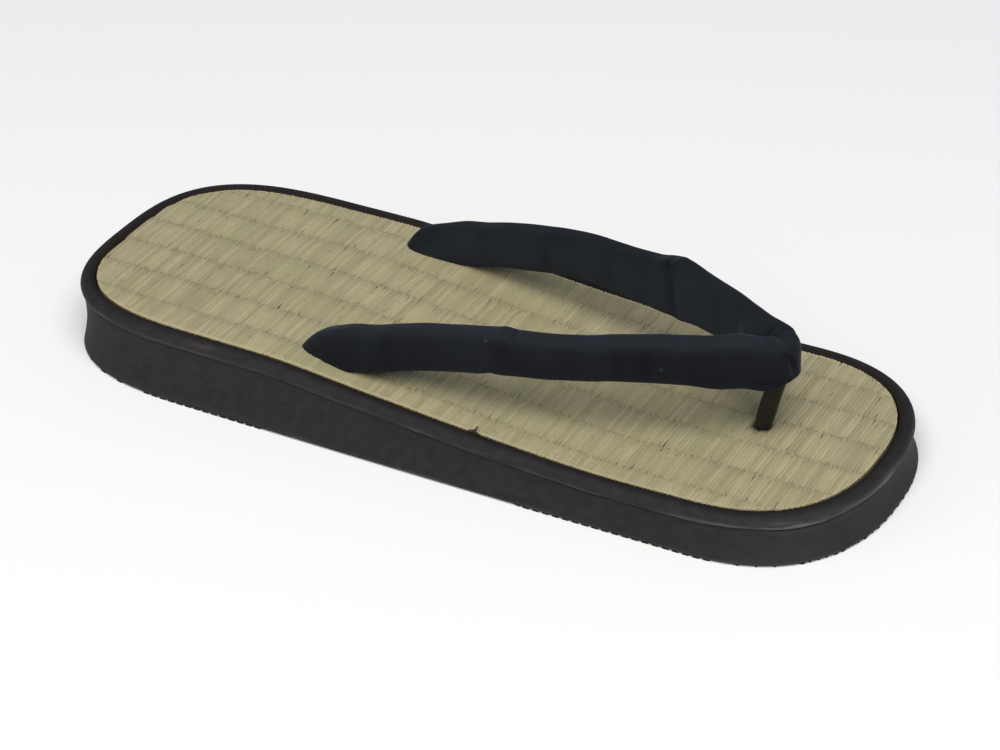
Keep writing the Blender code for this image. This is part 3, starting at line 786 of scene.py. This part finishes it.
class ZORI_OT_mat(bpy.types.Operator):
    """Lay the rush mat: a backing, warp cords along it and rows of stalks across it"""

    bl_idname = "zori.mat"
    bl_label = "Rush mat"

    def execute(self, context):
        s = sizes()
        inset = RIM_WIDTH + s.mat_gap
        edge = outline(1.5 * MM)
        levels = ((0.0, -INSOLE_THICKNESS), (0.0, -1.25 * MM), (-0.25 * MM, -1.05 * MM))
        rings = [ring(edge, grow - inset, over(rise)) for grow, rise in levels]
        backing = new_piece("mat_backing", [loft(np.array(rings), "strips")],
                            new_material("glued_straw_backing", backing_board, Roughness=0.90))

        rim_x, rim_y = edge.x - edge.out_x * inset, np.abs(edge.y - edge.out_y * inset)
        half = slice(0, len(edge.x) // 2 + 1)
        first, last = rim_x[0], rim_x[len(edge.x) // 2]

        def reach(x):
            return np.interp(x, rim_x[half], rim_y[half])

        def warp_line(number, x):
            straight = WARP_FIRST + WARP_SPACING * number + WARP_SKEW * x
            slow, quick = wander(20 + number, x / MM / 14), wander(40 + number, x / MM / 3)
            return straight + 0.45 * MM * slow + 0.18 * MM * quick

        cords = []
        for number in range(FIRST_ROW + 1, LAST_ROW + 1):
            x = np.arange(first + 1 * MM, last - 1 * MM, 0.7 * MM)
            y = warp_line(number, x)
            inside = np.abs(y) < reach(x) - 0.6 * MM
            x, y = x[inside], y[inside]
            weave = 0.18 * MM * np.sin(2 * math.pi * x / (2 * s.stalk_pitch))
            path = np.stack([x, y, insole_top(x) - 0.34 * MM + weave], 1)
            cords.append(loft(tube(path, 0.5 * s.cord_width, 6), "face"))
        cords = new_piece("warp_cords", cords,
                          new_material("twisted_hemp_cord", hemp_cord, Roughness=0.85))

        rng = np.random.default_rng(11)
        places, marks = [], {"span": [], "slope": [], "turn": []}
        for row in range(FIRST_ROW, LAST_ROW + 1):
            count = int((last - first) / s.stalk_pitch) + 1
            for k in range(count):
                x = first + (k + 0.5 + 0.5 * (row % 2)) * s.stalk_pitch + rng.normal(0, 0.07 * MM)
                jitter = rng.normal(0, 0.45 * MM, 2)
                x = min(max(x, first + 0.4 * MM), last - 0.4 * MM)
                low = warp_line(row, x) - 1.0 * MM + jitter[0] if row > FIRST_ROW else -0.05
                high = warp_line(row + 1, x) + 1.0 * MM + jitter[1] if row < LAST_ROW else 0.05
                limit = reach(x) + 2.2 * MM
                low, high = max(low, -limit), min(high, limit)
                if high - low < 1.2 * MM:
                    continue
                rise = -0.5 * s.stalk_width * STALK_FLATNESS + 0.25 * MM + rng.normal(0, 0.03 * MM)
                places.append((x, 0.5 * (low + high), insole_top(x) + rise))
                marks["span"].append(high - low)
                marks["slope"].append(-(insole_top(x + MM) - insole_top(x - MM)) / (2 * MM))
                marks["turn"].append(rng.normal(0, 0.010) + 0.012)
        rush = scattered("rush_mat", np.array(places), marks)
        igusa = new_material("woven_igusa_rush", woven_rush, Specular_IOR_Level=0.45)
        mesh = grow_on(rush, self.stalk_tree(), {"Width": s.stalk_width, "Bow": s.stalk_bow, "Seed": 7,
                                                 "Material": igusa})
        points, cut_and_highlight = trim_to_outline(points_of(mesh), -inset)
        foot = np.array((x_of(POST_SHARE), 0.0))
        away = points[:, :2] - foot
        apart = np.hypot(away[:, 0], away[:, 1])[:, None]
        room = 0.5 * POST_DIAMETER + 0.25 * MM
        points[:, :2] = np.where(apart < room, foot + away / apart.clip(1e-6) * room, points[:, :2])
        move_points(mesh, points)
        # Stalk ends cut at the outline are paler: partly the cut, partly painted highlight on their top edges
        mark(mesh, "cut_and_highlight", cut_and_highlight * 0.8)
        mark(mesh, "shade", 0.75 * bell(np.hypot(*(points[:, :2] - foot).T) - room, 0.7 * MM))
        mesh.shade_smooth()
        mesh.set_sharp_from_angle(angle=math.radians(60))

        for piece in (backing, cords, rush):
            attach(piece, "root")
        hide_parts("insole_mat")
        return {"FINISHED"}

    def stalk_tree(self):
        """One stalk that bows over its row and thins to its ends, set on every point."""
        tree, given = new_tree("Rush stalks", {"Width": "Float", "Bow": "Float", "Seed": "Int"})
        node = partial(add, tree)
        line = node("GeometryNodeCurvePrimitiveLine", Start=(0.0, -0.5, 0.0), End=(0.0, 0.5, 0.0))
        line = node("GeometryNodeResampleCurve", line, Count=8)
        share = node("SeparateXYZ", node("GeometryNodeInputPosition"), out=1)
        share = node("Math", share, 2.0, operation="MULTIPLY")
        share = node("Math", share, operation="ABSOLUTE")
        dip = node("Math", share, 3.2, operation="POWER")
        drop = node("Math", dip, given["Bow"], operation="MULTIPLY")
        drop = node("Math", drop, -1.0, operation="MULTIPLY")
        line = node("GeometryNodeStoreNamedAttribute", line, Name="end", Value=dip,
                    data_type="FLOAT", domain="POINT")
        line = node("GeometryNodeSetPosition", line, Offset=node("CombineXYZ", Z=drop))
        thin = node("MapRange", dip, To_Min=0.5, To_Max=0.30)
        thin = node("Math", thin, given["Width"], operation="MULTIPLY")
        hoop = node("GeometryNodeCurvePrimitiveCircle", Resolution=6)
        stalk = node("GeometryNodeCurveToMesh", line, Profile_Curve=hoop, Scale=thin, Fill_Caps=True)

        span, slope, turn = (node("GeometryNodeInputNamedAttribute", Name=name, data_type="FLOAT")
                             for name in ("span", "slope", "turn"))
        girth = node("FunctionNodeRandomValue", values={2: 0.90, 3: 1.11}, Seed=given["Seed"], out=1)
        height = node("Math", girth, STALK_FLATNESS, operation="MULTIPLY")
        laid = node("GeometryNodeInstanceOnPoints", given["Geometry"], Instance=stalk,
                    Rotation=node("CombineXYZ", Y=slope, Z=turn),
                    Scale=node("CombineXYZ", X=girth, Y=span, Z=height))
        seed = node("FunctionNodeIntegerMath", given["Seed"], 1)
        tone = node("FunctionNodeRandomValue", values={2: 0.27, 3: 0.73}, Seed=seed, out=1)
        toned = node("GeometryNodeStoreNamedAttribute", laid, Name="tone", Value=tone,
                     data_type="FLOAT", domain="INSTANCE")
        close_tree(tree, toned, given["Material"])
        return tree


def strap_course():
    """The straps' middle line as even rings from -Y tail to +Y tail: place, centre, depth and lean of each."""
    def rows_of(sections, side):
        return [(side * (1 - r.along), x_of(r.along), side * r.out * half_width(x_of(r.along)),
                 insole_top(x_of(r.along)) + r.rise * STRAP_RISE, STRAP_DEPTH * r.depth, math.radians(r.lean))
                for r in sections]

    bend = []
    for r in NOSE_LINE:
        turn = math.radians(r.degrees)
        bend.append((r.degrees / 90 * NOSE_PLACE, NOSE_X + math.cos(turn) * NOSE_BEND,
                     math.sin(turn) * NOSE_BEND, NOSE_HEIGHT, STRAP_DEPTH * r.depth, math.radians(90)))
    rows = np.array(rows_of(RIGHT_STRAP, -1) + bend + rows_of(LEFT_STRAP, 1)[::-1], float)
    run = np.concatenate([rows[:1], rows, rows[-1:]])
    fine = []
    for k in range(1, len(run) - 2):
        a, b, c, d = run[k - 1:k + 3]
        for t in np.linspace(0, 1, 24, endpoint=False):
            swing = (2 * a - 5 * b + 4 * c - d) * t ** 2 + (3 * b - a - 3 * c + d) * t ** 3
            fine.append(0.5 * (2 * b + (c - a) * t + swing))
    fine = np.array(fine + [rows[-1]])
    reach = np.concatenate([[0.0], np.cumsum(np.linalg.norm(np.diff(fine[:, 1:4], axis=0), axis=1))])
    # Finer rings in the bend, where the folds are sharpest
    start, end = np.interp((-NOSE_PLACE, NOSE_PLACE), fine[:, 0], reach) + (-2 * MM, 2 * MM)
    steps = ((0.0, start, 0.55), (start, end, 0.30), (end, reach[-1], 0.55))
    even = np.concatenate([np.arange(low, high, step * MM) for low, high, step in steps] + [reach[-1:]])
    return even, np.stack([np.interp(even, reach, fine[:, k]) for k in range(6)], 1)


class ZORI_OT_straps(bpy.types.Operator):
    """Sew the padded velvet straps: one tube with folds, a closing seam and the tuck behind the bend"""

    bl_idname = "zori.straps"
    bl_label = "Velvet straps"

    def execute(self, context):
        s = sizes()
        reach, course = strap_course()
        place, centre, depth, lean = course[:, 0], course[:, 1:4], course[:, 4], course[:, 5]
        run = unit(np.gradient(centre, axis=0))
        outward = unit(np.cross(run, (0.0, 0.0, 1.0)))
        upward = np.cross(outward, run)
        cos, sin = np.cos(lean)[:, None], np.sin(lean)[:, None]
        down, across = outward * cos - upward * sin, outward * sin + upward * cos

        turn = full_turn(84)
        tail = np.clip(np.where(place > 0, place - 0.585, -0.3 * (place + 0.600)) / 0.045, 0, 1)[:, None]
        power = 2 / (s.squareness + (2.0 - s.squareness) * tail)
        deep = 0.965 * squared(np.cos(turn), power) * 0.5 * depth[:, None]
        wide = squared(np.sin(turn), power) * 0.5 * STRAP_THICKNESS
        skin = centre[:, None] + down[:, None] * deep[:, :, None] + across[:, None] * wide[:, :, None]

        around = np.roll(skin, -1, 1) - np.roll(skin, 1, 1)
        normal = unit(np.cross(np.gradient(skin, axis=0), around))
        if ((skin - centre[:, None]) * normal).sum() < 0:
            normal = -normal

        def off(middle):
            return (np.degrees(turn)[None, :] - middle + 180) % 360 - 180

        def window(middle, spread):
            return np.cos(0.5 * math.pi * np.clip(np.abs(off(middle)) / spread, 0, 1)) ** 2

        face = np.degrees(turn)[None, :]
        mm = reach[:, None] / MM
        rise = 0.13 * wander(61, mm / 6.0, face / 60) + 0.08 * wander(62, mm / 2.6, face / 35)
        hollow = 0.0
        for fold in STRAP_FOLDS:
            middle = np.interp(fold.place + fold.slant * off(fold.face) / 90, place, reach) / MM
            form = s.fold_strength * fold.depth * window(fold.face, fold.spread)
            form = form * bell(mm - middle, fold.width)
            rise, hollow = rise - form, hollow + form.clip(0)
        seam = bell(off(330), 5.5)
        pucker = 0.75 + 0.25 * np.cos(2 * math.pi * mm / 3.6)
        skin = skin + normal * (rise * MM - s.seam_depth * seam * pucker)[:, :, None]

        # Painted light and shade on the velvet: lighter on the +Y strap's inner face and on faces turned up,
        # darker in the troughs of the folds
        inner = window(270, 75)
        up, far = np.clip(normal[:, :, 2], 0, 1) ** 1.5, np.clip(0.5 + place[:, None] / 0.2, 0, 1)
        brushed_and_lit = far * (0.50 * inner + 0.12 * up) + (1 - far) * (0.40 * up + 0.2 * inner)
        brushed_and_lit = brushed_and_lit - (0.32 + 0.23 * far) * hollow
        skins = [loft(skin, "face"), loft(self.tuck_rings(), "face"), loft(self.pad_rings(), "face")]
        velvet = new_material("woven_cotton_velvet", cotton_velvet, Specular_IOR_Level=0.16,
                              Sheen_Weight=0.30, Sheen_Roughness=0.40, Sheen_Tint="#7d8798")
        straps = new_piece("velvet_straps", skins, velvet, 70.0)
        # The tuck and the pad get an even middling share of the painted light
        behind = np.full(len(straps.data.vertices) - brushed_and_lit.size, 0.35)
        mark(straps.data, "brushed_and_lit", np.concatenate([brushed_and_lit.ravel(), behind]))
        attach(straps, "root")
        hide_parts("straps")
        return {"FINISHED"}

    def tuck_rings(self):
        """The cloth gathered low between the straps behind the bend: a soft block, wide at its back."""
        front, back = NOSE_X + 1.0 * MM, NOSE_X - 10.5 * MM
        turn = full_turn(40)
        rings = []
        for t in np.concatenate([[0.0, 0.004, 0.02], np.linspace(0.05, 0.95, 19), [0.98, 0.996, 1.0]]):
            x = back + (front - back) * t
            out = NOSE_BEND
            if x < x_of(RIGHT_STRAP[-1].along):
                out = smooth(RIGHT_STRAP, "out", along_of(x)) * half_width(x)
            closed = (1 - abs(2 * t - 1) ** 5) ** 0.35 if 0 < t < 1 else 0.02
            wide = max(float(out) - 0.5 * STRAP_THICKNESS, 0.3 * MM) + 1.5 * MM
            tall = 0.5 * STRAP_DEPTH * 1.04 - 4.6 * MM + 2.6 * MM * t ** 2
            y = wide * closed * squared(np.cos(turn), 0.7)
            z = tall * closed * squared(np.sin(turn), 0.7)
            rings.append(np.stack([np.full(40, x), y, NOSE_HEIGHT + z], 1))
        return np.array(rings)

    def pad_rings(self):
        """The soft lump at the top of the bend, where the +Y strap dives under the -Y one."""
        x, y, tilt = NOSE_X + 0.5 * MM, -1.6 * MM, math.radians(58)
        top = insole_top(x) + NOSE_RISE_SHARE * STRAP_RISE + 0.5 * STRAP_DEPTH * 1.035 - 1.0 * MM
        turn = full_turn(48)
        rings = []
        for rise in np.sin(np.linspace(-0.5 * math.pi, 0.5 * math.pi, 22)):
            size = max((1 - abs(rise) ** 2.6) ** (1 / 2.6), 0.02)
            far, near = 5.2 * MM * size * np.cos(turn), 2.5 * MM * size * np.sin(turn)
            rings.append(np.stack([x + far * math.cos(tilt) - near * math.sin(tilt),
                                   y + far * math.sin(tilt) + near * math.cos(tilt),
                                   np.full(48, top - 4.5 * MM + 4.5 * MM * rise)], 1))
        return np.array(rings)


class ZORI_OT_post(bpy.types.Operator):
    """Set the round cord of the toe post between the sole and the bend of the straps"""

    bl_idname = "zori.post"
    bl_label = "Toe post"

    def execute(self, context):
        x = x_of(POST_SHARE)
        foot = np.array((x, 0.0, float(insole_top(x))))
        rise = np.array((math.sin(POST_LEAN), 0.0, math.cos(POST_LEAN)))
        strap_bottom = NOSE_HEIGHT - 0.5 * STRAP_DEPTH * NOSE_LINE[0].depth
        top = (strap_bottom - foot[2]) / rise[2] + POST_SOCKET - 0.2 * MM
        at = np.linspace(-POST_ROOT + 0.2 * MM, top, 60)
        bow = 0.22 * MM * np.sin(math.pi * np.clip(at / top, 0, 1))
        path = foot + at[:, None] * rise - bow[:, None] * np.array((rise[2], 0.0, -rise[0]))
        radius = 0.5 * POST_DIAMETER + 0.16 * MM * np.clip(at / top, 0, 1)
        radius = radius - 0.18 * MM * bell(at - 0.2 * MM, 3.0 * MM)
        radius = radius - 0.12 * MM * bell(at - 0.62 * top, 5 * MM)
        rings = tube(path, radius, 48)
        turn = full_turn(48)[None, :]
        middle = rings.mean(1, keepdims=True)
        flutes = 1 + 0.012 * wander(81, at[:, None] / MM / 3, np.cos(turn) * 1.5, np.sin(turn) * 1.5)
        rings = middle + (rings - middle) * flutes[:, :, None]
        rubber = new_material("moulded_rubber_cord", moulded_rubber, Specular_IOR_Level=0.35)
        piece = new_piece("post_cord", [loft(rings, "face")], rubber)
        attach(piece, "root")
        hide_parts("toe_post")
        return {"FINISHED"}


class ZORI_OT_thread(bpy.types.Operator):
    """Leave the loose end of black thread that stands up at the mat's edge"""

    bl_idname = "zori.thread"
    bl_label = "Thread end"

    def execute(self, context):
        base = np.array((0.0202, -0.0428, 0.0))
        base[2] = float(insole_top(base[0]))
        strands = (
            ((-1.9, -0.7, -0.2), (-0.9, -0.5, 0.35), (0.1, -0.3, 0.45), (0.8, 0.1, 1.1), (1.1, 0.4, 1.8)),
            ((-0.9, -0.9, 0.1), (0.2, -0.6, 0.50), (1.2, -0.8, 0.40), (2.2, -1.0, 0.15), (3.0, -1.0, -0.3)),
            ((4.6, -1.6, -0.1), (5.2, -1.9, 0.45), (5.9, -2.2, 0.50), (6.5, -2.4, 0.3)),
        )
        parts = []
        for knots in strands:
            knots = np.array(knots)
            t = np.linspace(0, len(knots) - 1, 24)
            path = np.stack([np.interp(t, range(len(knots)), knots[:, k]) for k in range(3)], 1)
            for _ in range(3):
                path[1:-1] = (path[:-2] + 2 * path[1:-1] + path[2:]) / 4
            radius = 0.34 * MM * (1 - 0.45 * np.linspace(0, 1, 24) ** 2)
            parts.append(loft(tube(base + path * MM, radius, 8), "face"))
        piece = new_piece("thread_end", parts,
                          new_material("waxed_cotton_thread", waxed_thread, Roughness=0.60))
        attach(piece, "root")
        return {"FINISHED"}


class ZORI_OT_stage(bpy.types.Operator):
    """Set up the pale floor, the soft lights and the camera"""

    bl_idname = "zori.stage"
    bl_label = "Studio stage"

    def execute(self, context):
        scene = context.scene
        scene.view_settings.view_transform = "Standard"
        paper = new_material("matt_studio_paper", studio_paper, Roughness=0.90, Specular_IOR_Level=0.20)
        corners = np.array([(-3.0, -3.0, 0.0), (3.0, -3.0, 0.0), (3.0, 3.0, 0.0), (-3.0, 3.0, 0.0)])
        floor = new_piece("studio_floor", [(corners, [[0, 1, 2, 3]])], paper)

        for name, place, size, power, tint in (
            ("key_light", (0.58, -1.02, 2.00), 2.40, 68.5, "#fffcf7"),
            ("fill_light", (-0.90, -1.00, 0.45), 1.00, 3.0, "#f3f7ff"),
        ):
            lamp = bpy.data.lights.new(name, "AREA")
            lamp.shape, lamp.size, lamp.energy, lamp.color = "DISK", size, power, rgb(tint)
            light = bpy.data.objects.new(name, lamp)
            scene.collection.objects.link(light)
            light.location = place
            towards = Vector((0.0, 0.0, 0.02)) - Vector(place)
            light.rotation_euler = towards.to_track_quat("-Z", "Y").to_euler()

        world = bpy.data.worlds.new("studio_air")
        world.use_nodes = True
        feed(world.node_tree, world.node_tree.nodes["Background"], {"Color": "#dde8ff", "Strength": 0.24})
        scene.world = world

        eye, aim = Vector((0.3841, -0.6545, 0.4984)), Vector((0.0132, -0.0145, 0.0180))
        roll = math.radians(-1.97)
        camera = bpy.data.objects.new("camera", bpy.data.cameras.new("camera"))
        scene.collection.objects.link(camera)
        camera.location = eye
        turned = (aim - eye).to_track_quat("-Z", "Y") @ Quaternion((0.0, 0.0, 1.0), roll)
        camera.rotation_euler = turned.to_euler()
        camera.data.sensor_width, camera.data.lens = 36.0, 106.0
        camera.data.clip_start, camera.data.clip_end = 0.05, 20.0
        scene.camera = camera
        return {"FINISHED"}


OPERATORS = (ZORI_OT_sole, ZORI_OT_tread, ZORI_OT_mat, ZORI_OT_straps, ZORI_OT_post, ZORI_OT_thread,
             ZORI_OT_stage)


class ZORI_PT_panel(bpy.types.Panel):
    """Lists the sandal's pieces, sizes and colours"""

    bl_idname = "ZORI_PT_panel"
    bl_label = "Zori Sandal"
    bl_space_type = "VIEW_3D"
    bl_region_type = "UI"
    bl_category = "Zori"

    def draw(self, context):
        for group in (context.scene.zori_sizes, context.scene.zori_colours):
            box = self.layout.box()
            for name in type(group).__annotations__:
                box.prop(group, name)
        for operator in OPERATORS:
            self.layout.operator(operator.bl_idname)


CLASSES = (ZoriSizes, ZoriColours, *OPERATORS, ZORI_PT_panel)


def register():
    for kind in CLASSES:
        bpy.utils.register_class(kind)
    bpy.types.Scene.zori_sizes = bpy.props.PointerProperty(type=ZoriSizes)
    bpy.types.Scene.zori_colours = bpy.props.PointerProperty(type=ZoriColours)


def unregister():
    del bpy.types.Scene.zori_colours
    del bpy.types.Scene.zori_sizes
    for kind in reversed(CLASSES):
        bpy.utils.unregister_class(kind)


def main():
    register()
    bpy.ops.zori.stage()
    bpy.ops.zori.sole()
    bpy.ops.zori.tread()
    bpy.ops.zori.mat()
    bpy.ops.zori.straps()
    bpy.ops.zori.post()
    bpy.ops.zori.thread()


if __name__ == "__main__":
    main()
